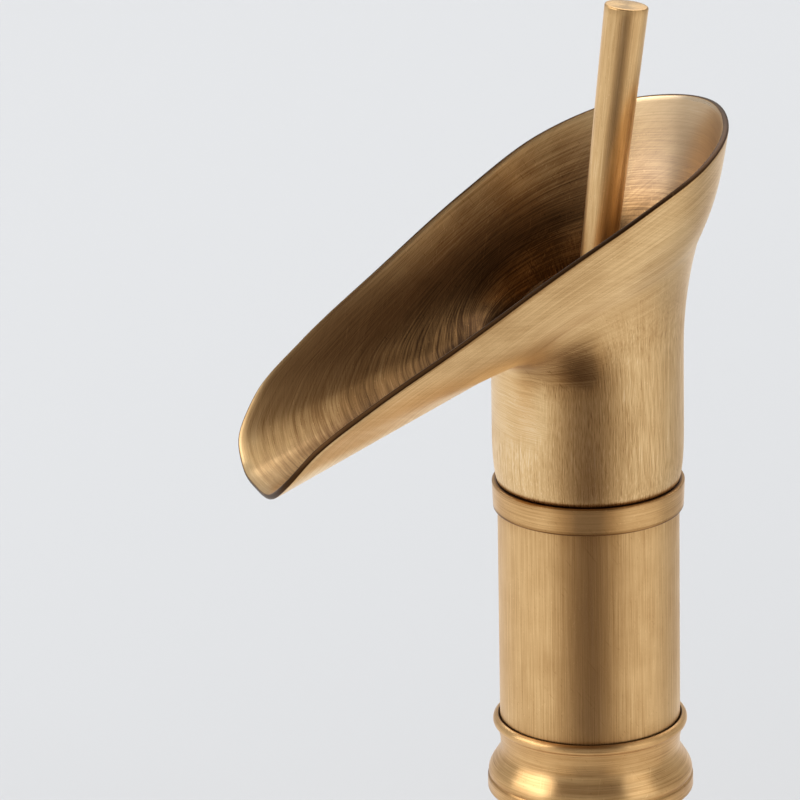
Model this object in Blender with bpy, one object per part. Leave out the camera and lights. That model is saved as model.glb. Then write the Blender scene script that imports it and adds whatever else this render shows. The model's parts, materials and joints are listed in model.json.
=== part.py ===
"""Single-lever basin mixer with an open waterfall spout, in antique brass.

Frame: metres, +Z up. The origin is on the column's axis at the level of the basin's deck,
and the spout points along -Y. Everything below Z = 0 hangs under the deck.

From bottom to top: nut, horseshoe washer and pad on a stud under the deck; base flange on its
gasket; inlet block with two risers and a tie rod inside the column sleeve; collar; spout head
with the valve body, the cartridge and its bonnet inside; lever rod on the cartridge's stem.
"""
from math import acos, asin, cos, pi, radians, sin, sqrt

import bmesh
import bpy
from mathutils import Matrix, Vector

# ---------------------------------------------------------------- driving dimensions (metres)
MM = 0.001
GAP = 0.3 * MM                    # clearance between pieces that touch
SEGMENTS = 32                     # facets round the outer pieces
INNER_SEGMENTS = 20               # facets round the inner pieces

CARTRIDGE_R = 17.5 * MM           # standard 35 mm cartridge
CUP_WALL = 2.0 * MM               # valve body round the cartridge
OUTLET_GAP = 2.5 * MM             # ring of water between the valve body and the neck
NECK_WALL = 2.2 * MM
NECK_PROUD = 1.2 * MM             # neck over the column
COLUMN_WALL = 1.6 * MM
COLUMN_LENGTH = 61.2 * MM         # sleeve, from its seat in the base to its seat in the collar
SOCKET_DEPTH = 2.4 * MM           # how far the sleeve stands in the base and in the collar
SOCKET_CLEARANCE = 0.4 * MM       # radial, seen as a dark line round the sleeve

FOOT_PROUD = 3.3 * MM             # foot, bead and collar over the column
BEAD_PROUD = 1.8 * MM
COLLAR_PROUD_TOP = 1.4 * MM
COLLAR_PROUD_BOTTOM = 1.1 * MM
COVE_INSET = 0.1 * MM             # throat of the foot's cove inside the column
FOOT_RIM = 3.6 * MM               # height of the foot's upright rim
BASE_HEIGHT = 20.0 * MM
BASE_LEDGE = 2.5 * MM             # ledge in the base that the inlet block pulls down on
GASKET_THICKNESS = 2.0 * MM
GASKET_INSET = 2.0 * MM           # gasket inside the foot's edge
COLLAR_HEIGHT = 7.1 * MM

RIM_WALL = 1.6 * MM
NECK_FOOT_INSET = 1.1 * MM        # the neck tucks in where it stands on the collar
NECK_SHOULDER = 3.7 * MM          # thickness of the inner shoulder at the head's foot

RISER_R = 4.0 * MM
RISER_WALL = 0.9 * MM
RISER_X = 8.0 * MM
RISER_Y = -4.0 * MM
INLET_R = 4.5 * MM                # tapping size of an M10 x 1 hose tail
INLET_DEPTH = 9.5 * MM
TIE_ROD_R = 3.0 * MM

PORT_R = 3.2 * MM
OUTLET_Y = 8.5 * MM
PIN_R = 1.2 * MM
STEM_R = 3.0 * MM
STEM_SPIGOT_R = 2.6 * MM
STEM_ARM = 7.0 * MM               # pin to the ball that drives the disc
BONNET_WALL = 1.6 * MM

LEVER_LEAN = 7.1                  # degrees back from upright at rest, water running
LEVER_TOP = 89.7 * MM             # pin to the rod's top, along the rod
LEVER_R_TOP = 5.5 * MM
LEVER_R_BOTTOM = 4.4 * MM
LEVER_OPEN = 13.0                 # degrees from rest to full flow, backwards
LEVER_SHUT = 12.0                 # degrees from rest to closed, forwards

DECK_THICKNESS = 20.0 * MM        # basin deck that the clamp is drawn for
STUD_R = 3.8 * MM                 # M8
STUD_Y = 10.0 * MM
STUD_BELOW_DECK = 58.0 * MM
CLAMP_R = 26.0 * MM
CLAMP_SLOT_HALF = 14.5 * MM
PAD_THICKNESS = 3.0 * MM
WASHER_THICKNESS = 2.0 * MM
NUT_ACROSS_FLATS = 13.0 * MM
NUT_HEIGHT = 6.5 * MM

# Radii and heights that follow from them.
SPIGOT_R = CARTRIDGE_R + CUP_WALL  # valve body below its flange, and the cup above it
NECK_BORE_R = SPIGOT_R + OUTLET_GAP
NECK_R = NECK_BORE_R + NECK_WALL
NECK_FOOT_R = NECK_R - NECK_FOOT_INSET
COLUMN_R = NECK_R - NECK_PROUD
FOOT_R = COLUMN_R + FOOT_PROUD
BEAD_R = COLUMN_R + BEAD_PROUD
COVE_R = COLUMN_R - COVE_INSET
COLLAR_R_TOP = COLUMN_R + COLLAR_PROUD_TOP
COLLAR_R_BOTTOM = COLUMN_R + COLLAR_PROUD_BOTTOM
GASKET_R = FOOT_R - GASKET_INSET
BASE_BORE_R = SPIGOT_R - BASE_LEDGE
BASE_SOCKET_Z = BASE_HEIGHT - SOCKET_DEPTH - GAP
SLEEVE_Z = BASE_SOCKET_Z + GAP
SLEEVE_TOP = SLEEVE_Z + COLUMN_LENGTH
COLLAR_Z = SLEEVE_TOP - SOCKET_DEPTH
COLLAR_TOP = COLLAR_Z + COLLAR_HEIGHT
HEAD_Z = COLLAR_TOP + GAP
SHOULDER_Z = HEAD_Z + NECK_SHOULDER
FLANGE_Z = SHOULDER_Z + GAP
FLANGE_TOP = FLANGE_Z + 5.5 * MM
SEAT_Z = FLANGE_TOP + 4.2 * MM    # floor of the cartridge's chamber
PIN_Z = SEAT_Z + 19.5 * MM        # lever's tilt axis
CUP_TOP = PIN_Z + 8.0 * MM        # top of the valve body
LEDGE_Z = 12.0 * MM               # ledge in the base that the inlet block pulls down on
BLOCK_TOP = 18.0 * MM


# ---------------------------------------------------------------- scene and materials
def clear_scene():
    for obj in list(bpy.data.objects):
        bpy.data.objects.remove(obj, do_unlink=True)


def material(name, colour, roughness, metallic):
    made = bpy.data.materials.new(name)
    made.use_nodes = True
    shader = made.node_tree.nodes["Principled BSDF"]
    shader.inputs["Base Color"].default_value = (*colour, 1.0)
    shader.inputs["Roughness"].default_value = roughness
    shader.inputs["Metallic"].default_value = metallic
    return made


# ---------------------------------------------------------------- shape helpers
def add_object(name, bm, finish, parent=None):
    """Links the bmesh as an object, faces out, smooth shaded with sharp edges kept."""
    bmesh.ops.recalc_face_normals(bm, faces=bm.faces)
    mesh = bpy.data.meshes.new(name)
    bm.to_mesh(mesh)
    bm.free()
    mesh.shade_smooth()
    mesh.set_sharp_from_angle(angle=radians(32))
    obj = bpy.data.objects.new(name, mesh)
    bpy.context.scene.collection.objects.link(obj)
    if finish:
        mesh.materials.append(finish)
    if parent:
        obj.parent = parent
    return obj


def add_empty(name, location, parent=None, lean=0.0):
    empty = bpy.data.objects.new(name, None)
    bpy.context.scene.collection.objects.link(empty)
    empty.location = location
    empty.rotation_euler = (lean, 0.0, 0.0)
    empty.parent = parent
    return empty


def join_rings(bm, rings, closed):
    """Skins neighbouring rings of vertices. A ring of one vertex is a pole."""
    pairs = list(zip(rings, rings[1:]))
    if closed:
        pairs.append((rings[-1], rings[0]))
    for low, high in pairs:
        count = max(len(low), len(high))
        for i in range(count):
            j = (i + 1) % count
            if len(low) == 1 and len(high) == 1:
                continue
            if len(low) == 1:
                bm.faces.new((low[0], high[i], high[j]))
            elif len(high) == 1:
                bm.faces.new((low[i], high[0], low[j]))
            else:
                bm.faces.new((low[i], high[i], high[j], low[j]))


def turned(name, profile, finish, segments=SEGMENTS, parent=None, centre=(0.0, 0.0)):
    """A turned piece: profile is a loop of (radius, height) about the vertical axis."""
    bm = bmesh.new()
    rings = []
    for radius, height in profile:
        count = segments if radius > 0 else 1
        turns = [2 * pi * i / segments for i in range(count)]
        rings.append([bm.verts.new((centre[0] + radius * cos(a), centre[1] + radius * sin(a), height))
                      for a in turns])
    join_rings(bm, rings, closed=profile[0][0] > 0 and profile[-1][0] > 0)
    return add_object(name, bm, finish, parent)


def arc(centre, radius, start, end, steps):
    """Points of a circular arc in a profile's plane, angles in degrees."""
    turns = [radians(start + (end - start) * i / steps) for i in range(steps + 1)]
    return [(centre[0] + radius * cos(a), centre[1] + radius * sin(a)) for a in turns]


def ring(name, radius, section, height, finish, segments=INNER_SEGMENTS, parent=None, centre=(0, 0)):
    """An O-ring: mid radius, section radius and height of its middle."""
    profile = arc((radius, height), section, 0, 300, 5)
    return turned(name, profile, finish, segments, parent, centre)


def washer(name, outer, inner, low, high, finish, segments=INNER_SEGMENTS, parent=None, centre=(0, 0)):
    profile = [(inner, low), (outer, low), (outer, high), (inner, high)]
    return turned(name, profile, finish, segments, parent, centre)


def cut(target, cutter):
    """Subtracts a helper object, which stays in the scene as a hidden wire."""
    cutter.hide_render = True
    cutter.display_type = "WIRE"
    step = target.modifiers.new("cut_" + cutter.name, "BOOLEAN")
    step.operation = "DIFFERENCE"
    step.solver = "EXACT"
    step.object = cutter


def bore(target, name, radius, start, end, segments=20):
    """Drills target from point start to point end, in the target's own space."""
    along = Vector(end) - Vector(start)
    bm = bmesh.new()
    bmesh.ops.create_cone(bm, cap_ends=True, segments=segments, radius1=radius, radius2=radius,
                          depth=along.length)
    turn = Vector((0, 0, 1)).rotation_difference(along).to_matrix().to_4x4()
    place = Matrix.Translation((Vector(start) + Vector(end)) / 2) @ turn
    bmesh.ops.transform(bm, matrix=place, verts=bm.verts)
    cut(target, add_object(name, bm, None, target.parent))


def pocket(target, name, low, high):
    """Cuts the box between two corners out of target, in the target's own space."""
    bm = bmesh.new()
    bmesh.ops.create_cube(bm, size=1.0)
    size = Vector(high) - Vector(low)
    place = Matrix.Translation((Vector(low) + Vector(high)) / 2) @ Matrix.Diagonal((*size, 1))
    bmesh.ops.transform(bm, matrix=place, verts=bm.verts)
    cut(target, add_object(name, bm, None, target.parent))


def smooth_keys(keys, odd, t):
    """Cubic curve through rows of (t, values). It meets its mirror image smoothly at both ends:
    columns in odd change sign there, and the others are level."""
    spans = [(b[0] - a[0]) for a, b in zip(keys, keys[1:])]
    columns = range(1, len(keys[0]))
    k = max(i for i in range(len(spans)) if i == 0 or t >= keys[i][0])
    x = (t - keys[k][0]) / spans[k]

    def chord(i, c):
        return (keys[i + 1][c] - keys[i][c]) / spans[i]

    def tangent(i, c):
        if i in (0, len(keys) - 1):
            return chord(min(i, len(spans) - 1), c) if c - 1 in odd else 0.0
        return (spans[i - 1] * chord(i, c) + spans[i] * chord(i - 1, c)) / (spans[i - 1] + spans[i])

    def value(c):
        return ((2 * x**3 - 3 * x**2 + 1) * keys[k][c] + (x**3 - 2 * x**2 + x) * spans[k] * tangent(k, c)
                + (3 * x**2 - 2 * x**3) * keys[k + 1][c] + (x**3 - x**2) * spans[k] * tangent(k + 1, c))

    return [value(c) for c in columns]


# ---------------------------------------------------------------- spout head
# One row per place round the rim, from the back of the cup to the middle of the lip:
# share of the way, direction on the neck (degrees, 0 is the spout's), then the rim's reach
# forward, half width and height above the collar, the height above the collar where the neck
# ends and the wall turns outward, and the length of that turn (all in millimetres).
HEAD_KEYS = [
    (0.00, 180, -35.3, 0.0, 94.2, 50.0, 15.0),
    (0.10, 155, -30.9, 18.0, 92.1, 49.5, 15.0),
    (0.20, 130, -18.6, 32.0, 87.3, 48.5, 14.0),
    (0.30, 105, -1.0, 37.7, 79.3, 46.0, 13.0),
    (0.42, 84, 20.0, 36.5, 66.7, 43.6, 12.0),
    (0.56, 64, 44.0, 33.0, 50.3, 42.0, 11.0),
    (0.70, 46, 65.8, 28.6, 35.4, 39.8, 9.0),
    (0.80, 34, 79.3, 24.6, 24.2, 38.4, 7.0),
    (0.87, 24, 85.4, 19.6, 15.0, 37.2, 6.0),
    (0.93, 13, 86.8, 11.2, 9.3, 36.4, 5.0),
    (1.00, 0, 87.0, 0.0, 7.9, 36.0, 5.0),
]
HEAD_HALF_COUNT = 26              # meridians from the back to the lip's middle
HEAD_BULGE = 1.4 * MM             # how far the back wall bows out between the turn and the rim
LIP_BULGE = 0.3                   # and the trough's floor at the lip, as a share of that
TURN_STEPS = 4
WALL_STEPS = 5


def head_meridian(t, side):
    """Outer points from the head's foot to its rim, at share t of the way round one side."""
    angle, reach, width, rim_z, turn_z, turn_length = smooth_keys(HEAD_KEYS, (0, 2), t)
    angle = radians(angle)
    outward = Vector((side * sin(angle), -cos(angle), 0.0))
    foot = [(NECK_FOOT_R, 0.0), (NECK_FOOT_R + 0.45 * MM, 0.8 * MM),
            ((NECK_FOOT_R + NECK_R) / 2 + 0.3 * MM, 4.0 * MM), (NECK_R, 12.0 * MM)]
    points = [outward * r + Vector((0, 0, HEAD_Z + z)) for r, z in foot]
    corner = outward * NECK_R + Vector((0, 0, COLLAR_TOP + turn_z * MM))
    rim = Vector((side * width * MM, -reach * MM, COLLAR_TOP + rim_z * MM))
    wall = rim - corner
    length = turn_length * MM
    start = corner - Vector((0, 0, length))
    end = corner + wall.normalized() * length
    for i in range(TURN_STEPS + 1):
        x = i / TURN_STEPS
        points.append(start * (1 - x)**2 + corner * 2 * x * (1 - x) + end * x**2)
    along = (rim - end).normalized()
    bow = outward - Vector((0, 0, 1))
    bow = (bow - along * bow.dot(along)).normalized() * HEAD_BULGE * (1 - (1 - LIP_BULGE) * t * t)
    for i in range(1, WALL_STEPS + 1):
        x = i / WALL_STEPS
        points.append(end.lerp(rim, x) + bow * sin(pi * x) * (1 - 0.3 * x))
    return points


def head_grid():
    """All meridians of the head's outer skin, once round."""
    shares = [i / HEAD_HALF_COUNT for i in range(HEAD_HALF_COUNT + 1)]
    right = [head_meridian(t, 1) for t in shares]
    left = [head_meridian(t, -1) for t in reversed(shares[1:-1])]
    return right + left


def skin_normal(grid, i, j):
    """Outward normal of the grid at meridian i, row j, from its neighbours."""
    rows = len(grid[0])
    round_way = grid[(i + 1) % len(grid)][j] - grid[i - 1][j]
    up_way = grid[i][min(j + 1, rows - 1)] - grid[i][max(j - 1, 0)]
    return up_way.cross(round_way).normalized()


def spout_head(finish):
    """Neck, cup and trough in one thin shell, open at the foot and along the rim."""
    grid = head_grid()
    count = len(grid)
    rows = len(grid[0])
    first = 3                     # the inner skin follows the outer one from this row up
    bm = bmesh.new()
    outer = [[bm.verts.new(grid[i][j]) for i in range(count)] for j in range(rows)]
    inner = []
    for j in range(first + 1, rows):
        share = (j - first) / (rows - 1 - first)
        wall = NECK_WALL + (RIM_WALL - NECK_WALL) * share
        inner.append([bm.verts.new(grid[i][j] - skin_normal(grid, i, j) * wall) for i in range(count)])
    foot_bore = SPIGOT_R + GAP
    feet = [meridian[0] for meridian in grid]
    bores = [(NECK_BORE_R, SHOULDER_Z), (foot_bore, SHOULDER_Z), (foot_bore, HEAD_Z)]
    rings = [[bm.verts.new((foot.x / NECK_FOOT_R * r, foot.y / NECK_FOOT_R * r, z)) for foot in feet]
             for r, z in bores]
    join_rings(bm, outer + inner[::-1] + rings, closed=True)
    return add_object("spout_head", bm, finish)


# ---------------------------------------------------------------- outer turned pieces
def base_flange(finish):
    """Foot with a cove and a bead whose lip stands round the column sleeve."""
    socket_r = COLUMN_R + SOCKET_CLEARANCE
    low_bore_r = SPIGOT_R + 0.7 * MM
    recess_z = GAP + GASKET_THICKNESS
    bead_half = BEAD_R - socket_r
    bead_z = BASE_HEIGHT - bead_half
    shoulder = (FOOT_R - 0.2 * MM, FOOT_RIM + 0.9 * MM)
    throat = (COVE_R, BASE_HEIGHT * 0.6)
    profile = [(GASKET_R + GAP, GAP), (FOOT_R - 0.3 * MM, GAP), (FOOT_R, GAP + 0.3 * MM)]
    profile += [(FOOT_R, FOOT_RIM), (FOOT_R - 0.4 * MM, FOOT_RIM + 0.3 * MM), shoulder]
    steps = 5
    for i in range(1, steps):     # the cove: out at the foot, in at the throat
        x = i / steps
        blend = (1 - cos(pi * x)) / 2
        profile.append((shoulder[0] + (throat[0] - shoulder[0]) * blend,
                        shoulder[1] + (throat[1] - shoulder[1]) * x))
    profile += [throat, (COVE_R + 0.1 * MM, throat[1] + 2.0 * MM), (COVE_R + 0.8 * MM, bead_z - bead_half)]
    profile += arc((BEAD_R - bead_half, bead_z), bead_half, -35, 90, 4)
    profile += [(socket_r, BASE_HEIGHT - 0.3 * MM), (socket_r, BASE_SOCKET_Z), (low_bore_r, BASE_SOCKET_Z)]
    profile += [(low_bore_r, LEDGE_Z), (BASE_BORE_R, LEDGE_Z), (BASE_BORE_R, recess_z)]
    profile += [(GASKET_R + GAP, recess_z)]
    return turned("base_flange", profile, finish)


def column_sleeve(finish):
    inner = COLUMN_R - COLUMN_WALL
    profile = [(inner, SLEEVE_Z), (COLUMN_R, SLEEVE_Z), (COLUMN_R, SLEEVE_TOP), (inner, SLEEVE_TOP)]
    return turned("column_sleeve", profile, finish)


def upper_collar(finish):
    """Band that takes the sleeve from below and carries the head on its top."""
    socket_r = COLUMN_R + SOCKET_CLEARANCE - 0.1 * MM
    bore_r = SPIGOT_R + 0.4 * MM
    seat = SLEEVE_TOP + GAP
    profile = [(socket_r, COLLAR_Z), (COLLAR_R_BOTTOM - 0.3 * MM, COLLAR_Z)]
    profile += [(COLLAR_R_BOTTOM, COLLAR_Z + 0.5 * MM), (COLLAR_R_TOP, COLLAR_TOP - 0.4 * MM)]
    profile += [(COLLAR_R_TOP - 0.3 * MM, COLLAR_TOP), (bore_r, COLLAR_TOP), (bore_r, seat)]
    profile += [(socket_r, seat)]
    return turned("upper_collar", profile, finish)


# ---------------------------------------------------------------- inner waterway
def inlet_block(finish):
    """Foot casting: M10 inlets and stud hole below, riser sockets and tie rod hole above."""
    shoulder_r = SPIGOT_R + 0.4 * MM
    profile = [(0, 0), (BASE_BORE_R - GAP, 0), (BASE_BORE_R - GAP, LEDGE_Z + GAP)]
    profile += [(shoulder_r, LEDGE_Z + GAP), (shoulder_r, BLOCK_TOP), (0, BLOCK_TOP)]
    block = turned("inlet_block", profile, finish)
    over = 1.0 * MM
    socket = INLET_DEPTH + 1.5 * MM
    for side, name in ((-1, "hot"), (1, "cold")):
        x = side * RISER_X
        bore(block, "inlet_" + name, INLET_R, (x, RISER_Y, -over), (x, RISER_Y, INLET_DEPTH))
        bore(block, "way_" + name, PORT_R, (x, RISER_Y, INLET_DEPTH - over), (x, RISER_Y, socket + over))
        bore(block, "socket_" + name, RISER_R + GAP, (x, RISER_Y, socket), (x, RISER_Y, BLOCK_TOP + over))
    bore(block, "stud_hole", STUD_R + GAP, (0, STUD_Y, -over), (0, STUD_Y, 13.0 * MM))
    bore(block, "tie_rod_foot", TIE_ROD_R + GAP, (0, 0, 5.0 * MM), (0, 0, BLOCK_TOP + over))
    return block


def valve_body(finish):
    """Carries the cartridge; its flange stands on the head's shoulder and seals the bore."""
    flange_r = NECK_BORE_R - GAP
    groove_r = flange_r - 1.8 * MM
    groove = (FLANGE_Z + 1.5 * MM, FLANGE_Z + 3.9 * MM)
    foot = COLLAR_TOP - 3.0 * MM
    cup_r = CARTRIDGE_R + GAP
    nut_seat = PIN_Z + 2.0 * MM
    profile = [(0, foot), (SPIGOT_R, foot), (SPIGOT_R, FLANGE_Z), (flange_r, FLANGE_Z)]
    profile += [(flange_r, groove[0]), (groove_r, groove[0]), (groove_r, groove[1]), (flange_r, groove[1])]
    profile += [(flange_r, FLANGE_TOP), (SPIGOT_R, FLANGE_TOP), (SPIGOT_R, CUP_TOP)]
    profile += [(cup_r + 0.5 * MM, CUP_TOP), (cup_r + 0.5 * MM, nut_seat), (cup_r, nut_seat)]
    profile += [(cup_r, SEAT_Z), (0, SEAT_Z)]
    body = turned("valve_body", profile, finish)
    over = 1.0 * MM
    socket_end = foot + 7.0 * MM
    for side, name in ((-1, "hot"), (1, "cold")):
        x = side * RISER_X
        bore(body, "body_socket_" + name, RISER_R + GAP, (x, RISER_Y, foot - over), (x, RISER_Y, socket_end))
        bore(body, "body_way_" + name, PORT_R, (x, RISER_Y, socket_end - over), (x, RISER_Y, SEAT_Z + over))
    outlet_z = FLANGE_TOP + 0.3 * MM
    outlet_r = 2.0 * MM
    bore(body, "outlet_well", PORT_R + 0.8 * MM, (0, OUTLET_Y, outlet_z), (0, OUTLET_Y, SEAT_Z + over))
    bore(body, "outlet_port", outlet_r, (0, OUTLET_Y, outlet_z + outlet_r + 0.1 * MM),
         (0, SPIGOT_R + over, outlet_z + outlet_r + 0.1 * MM))
    bore(body, "tie_rod_head", TIE_ROD_R + GAP, (0, 0, foot - over), (0, 0, foot + 11.5 * MM))
    return body


def body_o_ring(finish):
    middle = NECK_BORE_R - GAP - 0.75 * MM
    return ring("body_o_ring", middle, 0.75 * MM, FLANGE_Z + 2.7 * MM, finish, SEGMENTS)


def riser_tubes(finish):
    low = INLET_DEPTH + 1.5 * MM + GAP
    high = COLLAR_TOP + 4.0 * MM - GAP
    for x, name in ((-RISER_X, "riser_tube_hot"), (RISER_X, "riser_tube_cold")):
        washer(name, RISER_R, RISER_R - RISER_WALL, low, high, finish, 20, centre=(x, RISER_Y))


def tie_rod(finish):
    low = 5.0 * MM + GAP
    high = COLLAR_TOP + 8.5 * MM - GAP
    chamfer = 0.6 * MM
    profile = [(0, low), (TIE_ROD_R - chamfer, low), (TIE_ROD_R, low + chamfer)]
    profile += [(TIE_ROD_R, high - chamfer), (TIE_ROD_R - chamfer, high), (0, high)]
    turned("tie_rod", profile, finish, 16)


# ---------------------------------------------------------------- cartridge
PORTS = (("hot", -RISER_X, RISER_Y), ("cold", RISER_X, RISER_Y), ("outlet", 0.0, OUTLET_Y))
CARTRIDGE_BASE_TOP = SEAT_Z + 4.0 * MM
FIXED_DISC_TOP = CARTRIDGE_BASE_TOP + GAP + 2.5 * MM
MOVING_DISC_TOP = FIXED_DISC_TOP + GAP + 2.8 * MM
CARRIER_TOP = PIN_Z - 4.5 * MM
ROTOR_Z = CARRIER_TOP + GAP
ROTOR_FLANGE = 2.7 * MM
ROTOR_R = 9.8 * MM
HOUSING_BORE_R = CARTRIDGE_R - 2.3 * MM
SLOT_HALF = STEM_R + GAP


def cartridge_base(plastic, rubber):
    base = turned("cartridge_base", [(0, SEAT_Z + GAP), (CARTRIDGE_R - 0.2 * MM, SEAT_Z + GAP),
                                     (CARTRIDGE_R - 0.2 * MM, CARTRIDGE_BASE_TOP), (0, CARTRIDGE_BASE_TOP)],
                  plastic, INNER_SEGMENTS)
    over = 1.0 * MM
    seal_top = SEAT_Z + GAP + 1.3 * MM
    for name, x, y in PORTS:
        bore(base, "base_port_" + name, PORT_R, (x, y, SEAT_Z - over), (x, y, CARTRIDGE_BASE_TOP + over), 16)
        bore(base, "base_recess_" + name, PORT_R + 1.8 * MM, (x, y, SEAT_Z - over), (x, y, seal_top + GAP), 16)
        washer("seal_" + name + "_port", PORT_R + 1.5 * MM, PORT_R + 0.2 * MM, SEAT_Z + GAP, seal_top,
               rubber, 16, centre=(x, y))


def ceramic_discs(ceramic, plastic, slider):
    fixed = turned("fixed_disc", [(0, CARTRIDGE_BASE_TOP + GAP), (13.5 * MM, CARTRIDGE_BASE_TOP + GAP),
                                  (13.5 * MM, FIXED_DISC_TOP), (0, FIXED_DISC_TOP)], ceramic, INNER_SEGMENTS)
    over = 1.0 * MM
    for name, x, y in PORTS:
        bore(fixed, "disc_port_" + name, PORT_R - 0.2 * MM, (x, y, CARTRIDGE_BASE_TOP - over),
             (x, y, FIXED_DISC_TOP + over), 16)
    # The moving disc and its carrier are built about the slider, an empty over the disc's middle.
    low = FIXED_DISC_TOP + GAP - PIN_Z
    high = MOVING_DISC_TOP - PIN_Z
    disc_r = 11.6 * MM
    moving = turned("moving_disc", [(0, low), (disc_r, low), (disc_r, high), (0, high)], ceramic,
                    INNER_SEGMENTS, slider)
    bore(moving, "mixing_well", 8.0 * MM, (0, 0, low - over), (0, 0, low + 1.4 * MM), 24)
    carrier = turned("disc_carrier", [(0, high + GAP), (disc_r - 0.6 * MM, high + GAP),
                                      (disc_r - 0.6 * MM, CARRIER_TOP - PIN_Z), (0, CARRIER_TOP - PIN_Z)],
                     plastic, INNER_SEGMENTS, slider)
    ball = 1.9 * MM + GAP
    pocket(carrier, "ball_slot", (-ball, -1.7 * ball, high - over), (ball, 1.7 * ball, 0))


def cartridge_rotor(plastic, rubber, steel, turner):
    """Turns in the housing; the stem tilts in its slot on a cross pin."""
    low = ROTOR_Z - PIN_Z
    groove = (3.4 * MM, 5.0 * MM)
    groove_r = ROTOR_R - 1.2 * MM
    top = 9.0 * MM
    profile = [(0, low), (HOUSING_BORE_R - 0.6 * MM, low), (HOUSING_BORE_R - 0.6 * MM, low + ROTOR_FLANGE)]
    profile += [(ROTOR_R, low + ROTOR_FLANGE), (ROTOR_R, groove[0]), (groove_r, groove[0])]
    profile += [(groove_r, groove[1]), (ROTOR_R, groove[1]), (ROTOR_R, top), (0, top)]
    rotor = turned("cartridge_rotor", profile, plastic, INNER_SEGMENTS, turner)
    back = radians(LEVER_LEAN + LEVER_OPEN)
    front = radians(LEVER_SHUT - LEVER_LEAN)
    room = STEM_R / cos(back) + GAP
    pocket(rotor, "stem_slot_upper", (-SLOT_HALF, -(top * sin(front) / cos(front) + room), -room),
           (SLOT_HALF, top * sin(back) / cos(back) + room, top + 1.0 * MM))
    reach = -low * sin(back) / cos(back) + room
    pocket(rotor, "stem_slot_lower", (-SLOT_HALF, -reach, low - 1.0 * MM), (SLOT_HALF, room, 0.1 * MM))
    bore(rotor, "pin_bore_rotor", PIN_R + GAP, (-ROTOR_R - MM, 0, 0), (ROTOR_R + MM, 0, 0), 12)
    middle = ROTOR_R - 0.45 * MM
    ring("rotor_o_ring", middle, 0.58 * MM, (groove[0] + groove[1]) / 2, rubber, INNER_SEGMENTS, turner)
    half = ROTOR_R - 0.4 * MM
    pin = turned("stem_pin", [(0, -half), (PIN_R, -half), (PIN_R, half), (0, half)], steel, 12, turner)
    pin.rotation_euler = (0, pi / 2, 0)


def cartridge_housing(finish):
    low = CARTRIDGE_BASE_TOP + GAP
    plate = ROTOR_Z + ROTOR_FLANGE + GAP
    shoulder = PIN_Z + 2.0 * MM
    neck_r = 13.0 * MM
    neck_top = PIN_Z + 7.0 * MM
    bore_r = ROTOR_R + GAP
    profile = [(HOUSING_BORE_R, low), (CARTRIDGE_R, low), (CARTRIDGE_R, shoulder), (neck_r, shoulder)]
    profile += [(neck_r, neck_top), (bore_r, neck_top), (bore_r, plate), (HOUSING_BORE_R, plate)]
    turned("cartridge_housing", profile, finish, INNER_SEGMENTS)


def retaining_nut(finish):
    low = PIN_Z + 2.0 * MM + GAP
    high = CUP_TOP - GAP
    outer = CARTRIDGE_R + 0.5 * MM
    inner = 13.0 * MM + GAP
    nut = washer("retaining_nut", outer, inner, low, high, finish, SEGMENTS)
    notch = 2.0 * MM
    pocket(nut, "nut_notch_x", (-outer - MM, -notch, high - 2.0 * MM), (outer + MM, notch, high + MM))
    pocket(nut, "nut_notch_y", (-notch, -outer - MM, high - 2.0 * MM), (notch, outer + MM, high + MM))


def bonnet(finish):
    """Dome over the cartridge, round about the pin so that the lever's end clears it."""
    edge_z = CUP_TOP + GAP
    edge_r = SPIGOT_R - 0.2 * MM
    outer = sqrt(edge_r**2 + (edge_z - PIN_Z)**2)
    inner = outer - BONNET_WALL
    opening = outer * sin(radians(LEVER_LEAN + LEVER_OPEN)) + STEM_R + 0.7 * MM
    rise = (edge_z - PIN_Z)
    low_outer = 180 / pi * asin(rise / outer)
    low_inner = 180 / pi * asin(rise / inner)
    profile = arc((0, PIN_Z), outer, low_outer, 180 / pi * acos(opening / outer), 4)
    profile += arc((0, PIN_Z), inner, 180 / pi * acos(opening / inner), low_inner, 4)
    turned("bonnet", profile, finish)


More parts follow.
